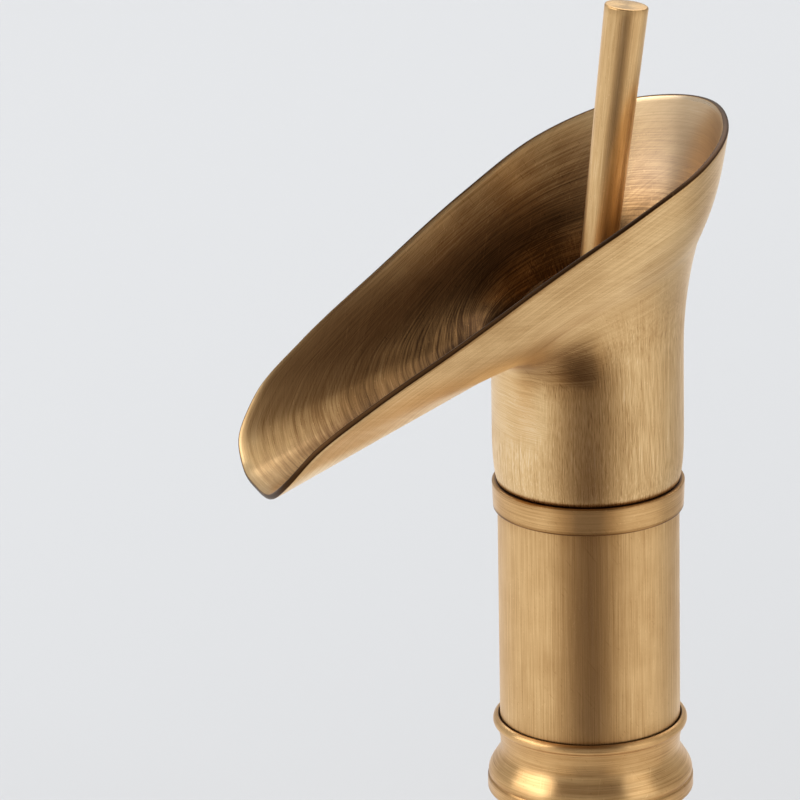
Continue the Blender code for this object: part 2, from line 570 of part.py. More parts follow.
# ---------------------------------------------------------------- lever
def lever(finish, steel, tilter):
    """Stem, rod and grub screw, built upright about the pin and leant by the tilter."""
    edge_z = CUP_TOP + GAP - PIN_Z
    bonnet_r = sqrt((SPIGOT_R - 0.2 * MM)**2 + edge_z**2)
    rod_low = bonnet_r + 1.4 * MM
    spigot_top = rod_low + 14.0 * MM
    ball = 1.9 * MM
    profile = [(0, -STEM_ARM - ball)]
    profile += arc((0, -STEM_ARM), ball, -50, 40, 4)
    profile += [(1.3 * MM, -STEM_ARM + 2.3 * MM), (STEM_R, -3.2 * MM), (STEM_R, rod_low - 0.5 * MM)]
    profile += [(STEM_SPIGOT_R, rod_low - 0.5 * MM), (STEM_SPIGOT_R, spigot_top), (0, spigot_top)]
    stem = turned("cartridge_stem", profile, steel, 20, tilter)
    bore(stem, "pin_bore_stem", PIN_R + GAP, (-STEM_R - MM, 0, 0), (STEM_R + MM, 0, 0), 12)

    chamfer = 0.5 * MM
    profile = [(0, rod_low), (LEVER_R_BOTTOM - chamfer, rod_low), (LEVER_R_BOTTOM, rod_low + chamfer)]
    profile += [(LEVER_R_TOP, LEVER_TOP - chamfer), (LEVER_R_TOP - chamfer, LEVER_TOP), (0, LEVER_TOP)]
    rod = turned("lever_rod", profile, finish, 32, tilter)
    hole = STEM_SPIGOT_R + GAP
    bore(rod, "stem_hole", hole, (0, 0, rod_low - MM), (0, 0, spigot_top + 0.6 * MM))
    screw_r = 1.2 * MM
    screw_z = rod_low + 5.0 * MM
    bore(rod, "screw_hole", screw_r + GAP, (0, 0, screw_z), (0, LEVER_R_TOP + MM, screw_z), 12)
    half = (LEVER_R_BOTTOM - STEM_SPIGOT_R - 0.4 * MM) / 2
    screw = turned("lever_grub_screw", [(0, -half), (screw_r, -half), (screw_r, half), (0, half)],
                   steel, 12, tilter)
    screw.rotation_euler = (pi / 2, 0, 0)
    screw.location = (0, STEM_SPIGOT_R + GAP + half, screw_z)


# ---------------------------------------------------------------- clamp under the deck
def base_gasket(finish):
    washer("base_gasket", GASKET_R, BASE_BORE_R + GAP, 0, GASKET_THICKNESS, finish, SEGMENTS)


def horseshoe(name, thickness, top, radius, finish):
    """Disc with a slot open to the front for the hoses and a hole for the stud."""
    plate = turned(name, [(0, top - thickness), (radius, top - thickness), (radius, top), (0, top)], finish)
    over = 1.0 * MM
    slot_end = STUD_Y - STUD_R - 3.4 * MM
    pocket(plate, name + "_slot", (-CLAMP_SLOT_HALF, -2 * radius, top - thickness - over),
           (CLAMP_SLOT_HALF, slot_end, top + over))
    bore(plate, name + "_hole", STUD_R + GAP, (0, STUD_Y, top - thickness - over), (0, STUD_Y, top + over))


def deck_clamp(rubber, steel, brass):
    pad_top = -DECK_THICKNESS
    washer_top = pad_top - PAD_THICKNESS - GAP
    nut_top = washer_top - WASHER_THICKNESS - GAP
    horseshoe("horseshoe_pad", PAD_THICKNESS, pad_top, CLAMP_R, rubber)
    horseshoe("horseshoe_washer", WASHER_THICKNESS, washer_top, CLAMP_R - 0.5 * MM, steel)
    chamfer = 0.7 * MM
    top = 13.0 * MM - GAP
    low = -STUD_BELOW_DECK
    profile = [(0, low), (STUD_R - chamfer, low), (STUD_R, low + chamfer)]
    profile += [(STUD_R, top - chamfer), (STUD_R - chamfer, top), (0, top)]
    turned("mounting_stud", profile, steel, 20, centre=(0, STUD_Y))
    corner = NUT_ACROSS_FLATS / sqrt(3)
    low = nut_top - NUT_HEIGHT
    nut = turned("mounting_nut", [(0, low), (corner, low), (corner, nut_top), (0, nut_top)], brass, 6,
                 centre=(0, STUD_Y))
    bore(nut, "nut_thread", STUD_R + GAP, (0, STUD_Y, low - MM), (0, STUD_Y, nut_top + MM))


# ---------------------------------------------------------------- the whole mixer
def build():
    clear_scene()
    brass = material("antique_brass", (0.52, 0.34, 0.16), 0.34, 1.0)
    raw_brass = material("raw_brass", (0.70, 0.50, 0.22), 0.38, 1.0)
    copper = material("copper", (0.72, 0.36, 0.22), 0.35, 1.0)
    steel = material("zinc_plated_steel", (0.62, 0.62, 0.60), 0.36, 1.0)
    rubber = material("rubber", (0.03, 0.03, 0.03), 0.75, 0.0)
    white = material("white_plastic", (0.80, 0.80, 0.77), 0.45, 0.0)
    grey = material("grey_plastic", (0.28, 0.29, 0.30), 0.5, 0.0)
    ceramic = material("ceramic", (0.86, 0.85, 0.82), 0.2, 0.0)

    spout_head(brass)
    upper_collar(brass)
    column_sleeve(brass)
    base_flange(brass)
    base_gasket(rubber)

    inlet_block(raw_brass)
    riser_tubes(copper)
    tie_rod(steel)
    valve_body(raw_brass)
    body_o_ring(rubber)

    turner = add_empty("temperature_axis", (0, 0, PIN_Z))
    tilter = add_empty("flow_axis", (0, 0, PIN_Z), lean=-radians(LEVER_LEAN))
    slider = add_empty("disc_axis", (0, -STEM_ARM * sin(radians(LEVER_LEAN)), PIN_Z))
    cartridge_base(white, rubber)
    ceramic_discs(ceramic, grey, slider)
    cartridge_rotor(grey, rubber, steel, turner)
    cartridge_housing(white)
    retaining_nut(raw_brass)
    bonnet(brass)
    lever(brass, steel, tilter)

    deck_clamp(rubber, steel, raw_brass)


build()
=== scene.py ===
"""Finished surfaces of the antique brass basin mixer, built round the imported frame.

Metres, +Z up, origin on the column's axis at the deck. The spout points along -Y. The outer
pieces, the bonnet, the stud and its nut are made again here with rounded edges. The other
pieces keep their CAD shape and get their finish and softened edges.
"""
import json
from math import atan2, cos, pi, radians, sin, sqrt, tan

import bmesh
import bpy
from mathutils import Matrix, Vector


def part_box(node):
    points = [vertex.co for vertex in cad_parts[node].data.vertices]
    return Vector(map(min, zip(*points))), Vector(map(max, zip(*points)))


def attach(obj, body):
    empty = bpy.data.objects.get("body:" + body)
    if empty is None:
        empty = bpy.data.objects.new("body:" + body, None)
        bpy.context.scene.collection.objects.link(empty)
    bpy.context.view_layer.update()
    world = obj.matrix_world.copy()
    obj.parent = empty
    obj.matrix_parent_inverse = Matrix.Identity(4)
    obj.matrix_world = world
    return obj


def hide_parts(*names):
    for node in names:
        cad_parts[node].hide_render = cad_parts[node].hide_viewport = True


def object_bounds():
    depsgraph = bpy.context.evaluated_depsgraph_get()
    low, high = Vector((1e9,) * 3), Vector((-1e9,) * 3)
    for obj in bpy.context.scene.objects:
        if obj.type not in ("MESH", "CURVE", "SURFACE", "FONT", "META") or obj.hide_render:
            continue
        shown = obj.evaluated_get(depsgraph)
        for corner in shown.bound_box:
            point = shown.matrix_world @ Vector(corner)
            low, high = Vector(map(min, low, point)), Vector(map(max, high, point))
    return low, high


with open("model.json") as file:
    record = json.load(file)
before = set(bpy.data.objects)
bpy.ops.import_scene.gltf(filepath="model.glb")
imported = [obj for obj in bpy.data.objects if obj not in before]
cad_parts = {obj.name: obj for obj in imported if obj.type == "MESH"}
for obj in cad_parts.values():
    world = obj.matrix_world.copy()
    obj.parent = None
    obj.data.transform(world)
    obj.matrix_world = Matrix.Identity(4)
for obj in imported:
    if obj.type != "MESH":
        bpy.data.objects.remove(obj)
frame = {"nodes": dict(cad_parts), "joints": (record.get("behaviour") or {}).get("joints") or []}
cad_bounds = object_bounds()

MM = 0.001
GAP = 0.3 * MM                    # between pieces that pass each other


# ---------------------------------------------------------------- node materials
class Finish:
    """A material under construction: add() makes a node, and inputs may be values or sockets."""

    def __init__(self, name):
        self.material = bpy.data.materials.new(name)
        self.material.use_nodes = True
        self.tree = self.material.node_tree
        self.shader = self.tree.nodes["Principled BSDF"]

    def add(self, kind, inputs=None, **settings):
        node = self.tree.nodes.new("ShaderNode" + kind)
        for name, value in settings.items():
            setattr(node, name, value)
        for key, value in (inputs or {}).items():
            self.put(node.inputs[key], value)
        return node

    def put(self, socket, value):
        if isinstance(value, bpy.types.NodeSocket):
            self.tree.links.new(value, socket)
        else:
            socket.default_value = value

    def math(self, operation, a, b=0.0, c=0.0, clamp=False):
        node = self.add("Math", {0: a, 1: b, 2: c}, operation=operation, use_clamp=clamp)
        return node.outputs[0]

    def sway(self, level, value, weight):
        """level, moved by weight for each unit that value stands off 0.5."""
        return self.math("MULTIPLY_ADD", self.math("SUBTRACT", value, 0.5), weight, level)

    def scaled(self, vector, factors):
        return self.add("VectorMath", {0: vector, 1: factors}, operation="MULTIPLY").outputs[0]

    def noise(self, vector, scale=1.0, detail=2.0, roughness=0.5):
        node = self.add("TexNoise", {"Vector": vector, "Scale": scale, "Detail": detail,
                                     "Roughness": roughness})
        return node.outputs[0]

    def span(self, value, low, high, to_low=0.0, to_high=1.0):
        """value, with low..high spread to to_low..to_high and held beyond."""
        node = self.add("MapRange", {"Value": value, "From Min": low, "From Max": high,
                                     "To Min": to_low, "To Max": to_high})
        return node.outputs[0]

    def mix(self, factor, a, b):
        """Colour a where factor is 0, b where it is 1."""
        node = self.add("Mix", data_type="RGBA")
        self.put(node.inputs[0], factor)
        self.put(node.inputs[6], a)
        self.put(node.inputs[7], b)
        return node.outputs[2]

    def blend(self, factor, a, b):
        """The same for plain numbers."""
        node = self.add("Mix", data_type="FLOAT")
        self.put(node.inputs[0], factor)
        self.put(node.inputs[2], a)
        self.put(node.inputs[3], b)
        return node.outputs[0]

    def ramp(self, value, stops):
        node = self.add("ValToRGB", {"Fac": value})
        ramp = node.color_ramp
        while len(ramp.elements) < len(stops):
            ramp.elements.new(0.5)
        for element, (place, colour) in zip(ramp.elements, stops):
            element.position = place
            element.color = (*colour, 1.0)
        return node.outputs[0]

    def attribute(self, name, output="Fac"):
        return self.add("Attribute", attribute_name=name).outputs[output]

    def object_mm(self):
        """Object coordinates in millimetres."""
        place = self.add("TexCoord").outputs["Object"]
        return self.scaled(place, (1000.0, 1000.0, 1000.0))

    def bump(self, height, distance, strength=1.0):
        node = self.add("Bump", {"Height": height, "Distance": distance, "Strength": strength})
        self.put(self.shader.inputs["Normal"], node.outputs[0])

    def set(self, **values):
        for name, value in values.items():
            title = name.replace("_", " ").title().replace("Ior", "IOR")
            self.put(self.shader.inputs[title], value)
        return self.material


GRAIN_RATIO = 90.0                # a brush line is this many times as long as it is wide
SCRATCH_SQUEEZE = 0.015           # of a scratch's length in the noise that draws it
HATCH_ANGLE = radians(35)
QUARTER_TURN = 0.25               # on the shader's anisotropic rotation


def lengthwise_grain(finish):
    """Grain space for lines along Z: millimetres across them, and far less than that along."""
    return finish.scaled(finish.object_mm(), (1.0, 1.0, 1.0 / GRAIN_RATIO))


def turned_grain(finish):
    """Grain space for lines round the Z axis."""
    parts = finish.add("SeparateXYZ", {0: finish.object_mm()})
    x, y, z = parts.outputs[0], parts.outputs[1], parts.outputs[2]
    radius = finish.math("SQRT", finish.math("ADD", finish.math("MULTIPLY", x, x),
                                             finish.math("MULTIPLY", y, y)))
    across = finish.math("MULTIPLY_ADD", radius, 0.7, z)
    along = finish.math("DIVIDE", x, GRAIN_RATIO)
    drift = finish.math("DIVIDE", y, GRAIN_RATIO)
    return finish.add("CombineXYZ", {0: across, 1: along, 2: drift}).outputs[0]


def swept_grain(finish):
    """Grain spaces of the head: for lines up the neck, and for lines round the cup and trough."""
    return finish.attribute("grain_neck", "Vector"), finish.attribute("grain_wall", "Vector")


BRASS_DARK = (0.055, 0.026, 0.010)
BRASS_BROWN = (0.27, 0.145, 0.056)
BRASS_MID = (0.56, 0.355, 0.160)
BRASS_LIGHT = (0.80, 0.57, 0.30)
BRASS_WORN = (0.92, 0.75, 0.53)
BRASS_PAINTED_HIGHLIGHT = (0.50, 0.40, 0.31)  # painted highlight: a pale tint on the cup's inside at the back


def streaks(finish, grain):
    """Fine lines and broad lines of one brush direction, each about 0.5."""
    return finish.noise(grain, 4.0, 3.0, 0.75), finish.noise(grain, 1.7, 2.0, 0.6)


def scratches(finish, place, lean, scale=3.0, low=0.68, high=0.76):
    """Hairlines that cross the grain, 0 to 1. lean is their turn from upright (x, y, z)."""
    leaned = finish.add("VectorRotate", {"Vector": place, "Rotation": lean},
                        rotation_type="EULER_XYZ")
    stretched = finish.scaled(leaned.outputs[0], (1.0, 1.0, SCRATCH_SQUEEZE))
    return finish.span(finish.noise(stretched, scale, 1.0, 0.4), low, high)


def cross_hatch(finish, around):
    """Fine lines that cross the wall's grain at HATCH_ANGLE, about 0.5."""
    parts = finish.add("SeparateXYZ", {0: around})
    path = parts.outputs[0]
    run = finish.math("MULTIPLY", parts.outputs[2], GRAIN_RATIO)
    slope = tan(HATCH_ANGLE)
    across = finish.math("MULTIPLY_ADD", run, slope, path)
    along = finish.math("DIVIDE", finish.math("MULTIPLY_ADD", path, -slope, run), GRAIN_RATIO)
    lines = finish.add("CombineXYZ", {0: across, 1: along, 2: parts.outputs[1]}).outputs[0]
    return finish.noise(lines, 3.0, 2.0, 0.6)


BRUSHED_LEVEL = 0.62              # of plain brushed brass on the colour ramp
FINE_WEIGHT = 0.70                # how far each pattern moves a spot along the ramp
BROAD_WEIGHT = 0.22
CLOUD_WEIGHT = 0.30
HAIR_WEIGHT = 0.16
HATCH_WEIGHT = 0.20
SCRATCH_WEIGHT = 0.10
WANDER = 0.12                     # of the border between the neck's grain and the wall's
NECK_ENDS, WALL_STARTS = 0.035, 0.125   # of the wall attribute


def antique_brass(name, grain_of, redness, anisotropic, rotation=0.0):
    """Brushed brass under a thin brown patina that is rubbed through on the edges.

    The mesh's tone attribute darkens (below 0) or lightens the finish: it holds the rubbed edges
    and painted shade and light. On the head the grain turns from the neck's to the wall's where
    the wall attribute rises, and a pale painted highlight is mixed in on the cup's inside.
    """
    finish = Finish(name)
    place = finish.object_mm()
    tone = finish.attribute("tone")
    on_head = grain_of is swept_grain
    if on_head:
        up, around = swept_grain(finish)
        wander = finish.math("SUBTRACT", finish.noise(place, 0.25, 2.0), 0.5)
        reached = finish.math("MULTIPLY_ADD", wander, WANDER, finish.attribute("wall"))
        share = finish.span(reached, NECK_ENDS, WALL_STARTS)
        fine_up, broad_up = streaks(finish, up)
        fine_round, broad_round = streaks(finish, around)
        fine = finish.blend(share, fine_up, fine_round)
        broad = finish.blend(share, broad_up, finish.sway(0.5, broad_round, 0.5))
    else:
        fine, broad = streaks(finish, grain_of(finish))
    cloud = finish.noise(place, 0.07, 3.0, 0.55)
    leftward = scratches(finish, place, (0.35, 0.5, 0.0))
    rightward = scratches(finish, place, (-0.6, 0.2, 0.0))

    level = finish.sway(BRUSHED_LEVEL, fine, FINE_WEIGHT)
    level = finish.sway(level, broad, BROAD_WEIGHT)
    level = finish.sway(level, cloud, CLOUD_WEIGHT)
    if on_head:
        # Hand brushing wanders on the neck: dense hairlines that lean a little from upright.
        leaning = scratches(finish, place, (0.07, 0.06, 0.0), 4.5, 0.48, 0.75)
        crossing = scratches(finish, place, (-0.10, -0.05, 0.0), 4.5, 0.48, 0.75)
        hairs = finish.math("MULTIPLY_ADD", crossing, -1.3, leaning)
        hairs = finish.math("MULTIPLY", hairs, finish.math("SUBTRACT", 1.0, share))
        level = finish.math("MULTIPLY_ADD", hairs, HAIR_WEIGHT, level)
        hatch = finish.math("SUBTRACT", cross_hatch(finish, around), 0.5)
        hatch = finish.math("MULTIPLY", hatch, share)
        level = finish.math("MULTIPLY_ADD", hatch, HATCH_WEIGHT, level)
    level = finish.math("MULTIPLY_ADD", leftward, SCRATCH_WEIGHT, level)
    level = finish.math("MULTIPLY_ADD", rightward, -SCRATCH_WEIGHT, level)
    level = finish.math("ADD", level, tone, clamp=True)
    warm = (1.0, 1.0 - 0.10 * redness, 1.0 - 0.22 * redness)

    def tinted(colour):
        return tuple(c * w for c, w in zip(colour, warm))

    colour = finish.ramp(level, [(0.0, tinted(BRASS_DARK)), (0.25, tinted(BRASS_BROWN)),
                                 (0.50, tinted(BRASS_MID)), (0.78, tinted(BRASS_LIGHT)),
                                 (1.0, tinted(BRASS_WORN))])
    if on_head:
        # A pale painted highlight, mixed into the colour on the cup's inside at the back.
        colour = finish.mix(finish.attribute("painted_highlight"), colour, (*BRASS_PAINTED_HIGHLIGHT, 1.0))
    rough = finish.span(finish.math("MULTIPLY_ADD", fine, 0.5, finish.math("MULTIPLY", cloud, 0.5)),
                        0.35, 0.65, 0.40, 0.29)
    rough = finish.math("MULTIPLY_ADD", tone, -0.10, rough, clamp=True)
    finish.bump(finish.math("MULTIPLY_ADD", broad, 2.0, fine), 0.000020, 0.7)
    if on_head:
        tangent = finish.add("Tangent", direction_type="UV_MAP", uv_map="round")
        rotation = finish.math("MULTIPLY", share, QUARTER_TURN)
    else:
        tangent = finish.add("Tangent", direction_type="RADIAL", axis="Z")
    return finish.set(base_color=colour, metallic=1.0, roughness=rough, anisotropic=anisotropic,
                      anisotropic_rotation=rotation, tangent=tangent.outputs[0])


def machined_metal(name, dark, light, roughness):
    """Turned metal with fine tool rings and a faint cloud of oxide."""
    finish = Finish(name)
    grain = turned_grain(finish)
    place = finish.object_mm()
    fine = finish.noise(grain, 4.0, 3.0, 0.6)
    cloud = finish.noise(place, 0.16, 3.0, 0.6)
    level = finish.math("MULTIPLY_ADD", fine, 0.45, finish.math("MULTIPLY", cloud, 0.75))
    level = finish.math("ADD", level, finish.attribute("tone"), clamp=True)
    colour = finish.ramp(level, [(0.2, dark), (0.85, light)])
    rough = finish.span(level, 0.3, 0.9, roughness + 0.10, roughness - 0.06)
    finish.bump(fine, 0.00005, 0.5)
    return finish.set(base_color=colour, metallic=1.0, roughness=rough)


def plated_steel(name):
    """Zinc plate with its pale crystal mottling and a hint of yellow."""
    finish = Finish(name)
    place = finish.object_mm()
    grains = finish.add("TexVoronoi", {"Vector": place, "Scale": 0.9}, feature="F1")
    cloud = finish.noise(place, 0.35, 3.0, 0.6)
    level = finish.math("MULTIPLY_ADD", grains.outputs["Distance"], 0.35, cloud)
    level = finish.math("ADD", level, finish.attribute("tone"))
    colour = finish.ramp(level, [(0.25, (0.36, 0.36, 0.34)), (0.6, (0.60, 0.60, 0.57)),
                                 (0.95, (0.76, 0.75, 0.70))])
    rough = finish.span(cloud, 0.3, 0.7, 0.42, 0.28)
    finish.bump(cloud, 0.00004, 0.6)
    return finish.set(base_color=colour, metallic=1.0, roughness=rough)


def moulded(name, dark, light, roughness, grain=0.00003, coat=0.0):
    """Rubber, plastic or ceramic: a fine moulded grain with faint shade variation."""
    finish = Finish(name)
    place = finish.object_mm()
    specks = finish.noise(place, 6.0, 3.0, 0.6)
    cloud = finish.noise(place, 0.2, 2.0, 0.5)
    level = finish.math("MULTIPLY_ADD", specks, 0.4, finish.math("MULTIPLY", cloud, 0.6))
    level = finish.math("ADD", level, finish.attribute("tone"))
    colour = finish.ramp(level, [(0.3, dark), (0.7, light)])
    rough = finish.span(specks, 0.3, 0.7, roughness + 0.06, roughness - 0.06)
    finish.bump(specks, grain, 0.7)
    return finish.set(base_color=colour, metallic=0.0, roughness=rough, coat_weight=coat)


FINISHES = {
    "head": antique_brass("antique_brass_head", swept_grain, 0.0, 0.6),
    "turned": antique_brass("antique_brass_turned", turned_grain, 0.7, 0.85, QUARTER_TURN),
    "lengthwise": antique_brass("antique_brass_lengthwise", lengthwise_grain, 0.35, 0.5),
    "raw_brass": machined_metal("machined_brass", (0.42, 0.27, 0.10), (0.80, 0.62, 0.33), 0.30),
    "copper": machined_metal("drawn_copper", (0.42, 0.15, 0.07), (0.85, 0.46, 0.30), 0.32),
    "plated_steel": plated_steel("zinc_plated_steel"),
    "rubber": moulded("black_rubber", (0.012, 0.012, 0.013), (0.035, 0.035, 0.036), 0.70),
    "white_plastic": moulded("white_plastic", (0.68, 0.68, 0.65), (0.80, 0.80, 0.77), 0.42),
    "grey_plastic": moulded("grey_plastic", (0.15, 0.16, 0.17), (0.24, 0.25, 0.26), 0.45),
    "ceramic": moulded("alumina_ceramic", (0.76, 0.75, 0.72), (0.86, 0.85, 0.82), 0.20, 0.00001, 0.4),
}


# ---------------------------------------------------------------- mesh helpers
SHARP_ANGLE = radians(40)
WEAR_REACH = 0.45 * MM            # of the rubbed band beyond a fillet
WEAR_TONE = 0.22
FILLET_STEPS = 4
FILLET_SHARE = 0.45               # of a side, the most that a fillet takes up
ON_AXIS = 1e-7                    # a ring of a smaller radius is one vertex


def finished(name, bm, finish, body, replaced, tones, keep=None):
    """Links the mesh as a piece that rides on body and stands for the CAD node replaced.

    tones and the lists in keep become attributes, one value (or three) for each vertex.
    """
    bmesh.ops.recalc_face_normals(bm, faces=bm.faces)
    mesh = bpy.data.meshes.new(name)
    bm.to_mesh(mesh)
    bm.free()
    mesh.shade_smooth()
    mesh.set_sharp_from_angle(angle=SHARP_ANGLE)
    for key, values in {"tone": tones, **(keep or {})}.items():
        kind, field = ("FLOAT_VECTOR", "vector") if key.startswith("grain") else ("FLOAT", "value")
        layer = mesh.attributes.new(key, kind, "POINT")
        layer.data.foreach_set(field, values)
    mesh.materials.append(FINISHES[finish])
    piece = bpy.data.objects.new(name, mesh)
    bpy.context.scene.collection.objects.link(piece)
    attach(piece, body)
    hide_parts(replaced)
    return piece


def join_rings(bm, rings, closed):
    """Skins neighbouring rings of vertices. A ring of one vertex is a pole."""
    pairs = list(zip(rings, rings[1:]))
    if closed:
        pairs.append((rings[-1], rings[0]))
    for low, high in pairs:
        count = max(len(low), len(high))
        for i in range(count):
            j = (i + 1) % count
            if len(low) == 1 and len(high) == 1:
                continue
            if len(low) == 1:
                bm.faces.new((low[0], high[i], high[j]))
            elif len(high) == 1:
                bm.faces.new((low[i], high[0], low[j]))
            else:
                bm.faces.new((low[i], high[i], high[j], low[j]))


def rounded(corners, step):
    """Profile through (radius, height, fillet) corners, closed, in steps no longer than step.

    Returns (radius, height, wear): wear is near 1 along outward edges and -1 in inward ones.
    """
    count = len(corners)
    points = []
    edges = []
    solid = [Vector((r, z)) for r, z, _ in corners]
    for i, (r, z, fillet) in enumerate(corners):
        here = solid[i]
        back = solid[i - 1] - here
        ahead = solid[(i + 1) % count] - here
        if fillet <= 0 or r <= 0:
            points.append(here)
            continue
        room = min(fillet, back.length * FILLET_SHARE, ahead.length * FILLET_SHARE)
        start = here + back.normalized() * room
        end = here + ahead.normalized() * room
        turn = back.normalized().cross(ahead.normalized())
        edges.append((here, turn, room))
        for k in range(FILLET_STEPS + 1):
            x = k / FILLET_STEPS
            points.append(start * (1 - x)**2 + here * 2 * x * (1 - x) + end * x**2)
    fine = []
    for i, here in enumerate(points):
        ahead = points[(i + 1) % len(points)]
        fine.append(here)
        if here.x <= 0 and ahead.x <= 0:
            continue
        pieces = int((ahead - here).length / step)
        fine.extend(here.lerp(ahead, k / (pieces + 1)) for k in range(1, pieces + 1))
    made = []
    for point in fine:
        wear = 0.0
        for corner, turn, room in edges:
            near = max(0.0, 1 - (point - corner).length / (WEAR_REACH + room))
            wear += (1 if turn > 0 else -1) * min(1.0, abs(turn)) * near
        made.append((point.x, point.y, wear))
    return made


def lathe(corners, segments, step, tone=lambda radius, height: 0.0):
    """A turned mesh about the Z axis, and for each vertex its wear plus tone(radius, height)."""
    bm = bmesh.new()
    rings = []
    tones = []
    profile = rounded(corners, step)
    for radius, height, wear in profile:
        count = segments if radius > ON_AXIS else 1
        turns = [2 * pi * i / segments for i in range(count)]
        rings.append([bm.verts.new((radius * cos(a), radius * sin(a), height)) for a in turns])
        tones += [wear * WEAR_TONE + tone(radius, height)] * count
    join_rings(bm, rings, closed=profile[0][0] > ON_AXIS or profile[-1][0] > ON_AXIS)
    return bm, tones


def turned(name, corners, finish, tone, body="body", segments=160, step=2.0 * MM):
    """A turned piece. tone(radius, height) darkens or lightens the finish there."""
    bm, tones = lathe(corners, segments, step, tone)
    return finished(name, bm, finish, body, name.removesuffix("_surface"), tones)


def arc(centre, radius, start, end, steps):
    """Corners along a circular arc in a profile's plane, angles in degrees."""
    turns = [radians(start + (end - start) * i / steps) for i in range(steps + 1)]
    return [(centre[0] + radius * cos(a), centre[1] + radius * sin(a), 0.0) for a in turns]


def cutter(name, radius, low, high, segments, place):
    """A cylinder for carve, upright between two heights in the frame of place."""
    corners = [(0, low, 0), (radius, low, 0), (radius, high, 0), (0, high, 0)]
    bm, _ = lathe(corners, segments, 2.0 * MM)
    bm.transform(place)
    bmesh.ops.recalc_face_normals(bm, faces=bm.faces)
    mesh = bpy.data.meshes.new(name)
    bm.to_mesh(mesh)
    bm.free()
    tool = bpy.data.objects.new(name, mesh)
    bpy.context.scene.collection.objects.link(tool)
    return tool


def carve(piece, tools):
    """Subtracts the tools for good and removes them."""
    for tool in tools:
        step = piece.modifiers.new("carve", "BOOLEAN")
        step.operation = "DIFFERENCE"
        step.solver = "EXACT"
        step.object = tool
    bpy.context.view_layer.update()
    graph = bpy.context.evaluated_depsgraph_get()
    mesh = bpy.data.meshes.new_from_object(piece.evaluated_get(graph))
    piece.modifiers.clear()
    piece.data = mesh
    for tool in tools:
        bpy.data.objects.remove(tool, do_unlink=True)
    mesh.set_sharp_from_angle(angle=SHARP_ANGLE)


def held(x):
    """x held to 0..1 and eased at both ends."""
    x = min(1.0, max(0.0, x))
    return x * x * (3 - 2 * x)


def size(node):
    """Width, depth and height of a CAD node."""
    low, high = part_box(node)
    return high - low


# ---------------------------------------------------------------- spout head
# The same sweep as the CAD head. Each row: share of the way round from the back of the cup to
# the lip's middle, direction on the neck (degrees from the spout), the rim's reach forward,
# half width and height over the collar, the height over the collar where the neck ends, and
# the length of the turn from the neck to the wall (all in millimetres).
HEAD_KEYS = [
    (0.00, 180, -35.3, 0.0, 94.2, 50.0, 15.0),
    (0.10, 155, -30.9, 18.0, 92.1, 49.5, 15.0),
    (0.20, 130, -18.6, 32.0, 87.3, 48.5, 14.0),
    (0.30, 105, -1.0, 37.7, 79.3, 46.0, 13.0),
    (0.42, 84, 20.0, 36.5, 66.7, 43.6, 12.0),
    (0.56, 64, 44.0, 33.0, 50.3, 42.0, 11.0),
    (0.70, 46, 65.8, 28.6, 35.4, 39.8, 9.0),
    (0.80, 34, 79.3, 24.6, 24.2, 38.4, 7.0),
    (0.87, 24, 85.4, 19.6, 15.0, 37.2, 6.0),
    (0.93, 13, 86.8, 11.2, 9.3, 36.4, 5.0),
    (1.00, 0, 87.0, 0.0, 7.9, 36.0, 5.0),
]
HEAD_HALF_COUNT = 96              # meridians from the back to the lip's middle
HEAD_BULGE = 1.4 * MM             # of the wall at the back, outward from a straight line
LIP_BULGE = 0.3                   # of that, at the lip
TURN_SHARE = 0.12                 # share of the wall that counts as the turn from the neck
FOOT_STEPS = 8
NECK_STEPS = 6
TURN_STEPS = 14
WALL_STEPS = 26
RIM_STEPS = 6
NECK_WALL = 2.2 * MM
RIM_WALL = 1.6 * MM
NECK_SHOULDER = 3.7 * MM

HEAD_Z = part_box("spout_head")[0].z
COLLAR_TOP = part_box("upper_collar")[1].z
FLANGE_R = size("valve_body").x / 2
NECK_BORE_R = FLANGE_R + GAP
NECK_R = NECK_BORE_R + NECK_WALL
NECK_FOOT_R = NECK_R - 1.1 * MM
NECK_FOOT = ((NECK_FOOT_R, 0.0), (NECK_FOOT_R + 0.5 * MM, 1.2 * MM), (NECK_R, 5.5 * MM),
             (NECK_R, 12 * MM))   # radius and height over the foot, a Bezier curve's points
SPIGOT_R = size("bonnet").x / 2 + 0.2 * MM
CROOK_Z = COLLAR_TOP + 40 * MM    # where the trough's underside leaves the neck
CROOK_HEIGHT = 9 * MM
CROOK_REACH = 12 * MM             # out from the neck
CROOK_ANGLE, CROOK_SPREAD = 50, 24   # degrees from the spout, on both sides
RIM_TONE = -0.75                  # the dark line along the rim
# The rim's inner edge: less dark than the rim, a painted highlight along that edge.
RIM_INNER_TONE = -0.45
RIM_RISE = 0.55                   # of the rim's rounding over the wall, in half walls
ROUND_LIFT = 0.14                 # lifts the wall attribute past WALL_STARTS
# The pale painted highlight on the cup's inside: its strength, and how far round from the back it
# reaches.
PAINTED_HIGHLIGHT_STRENGTH = 0.6
PAINTED_HIGHLIGHT_SHARE = 0.30                # of the way round from the back


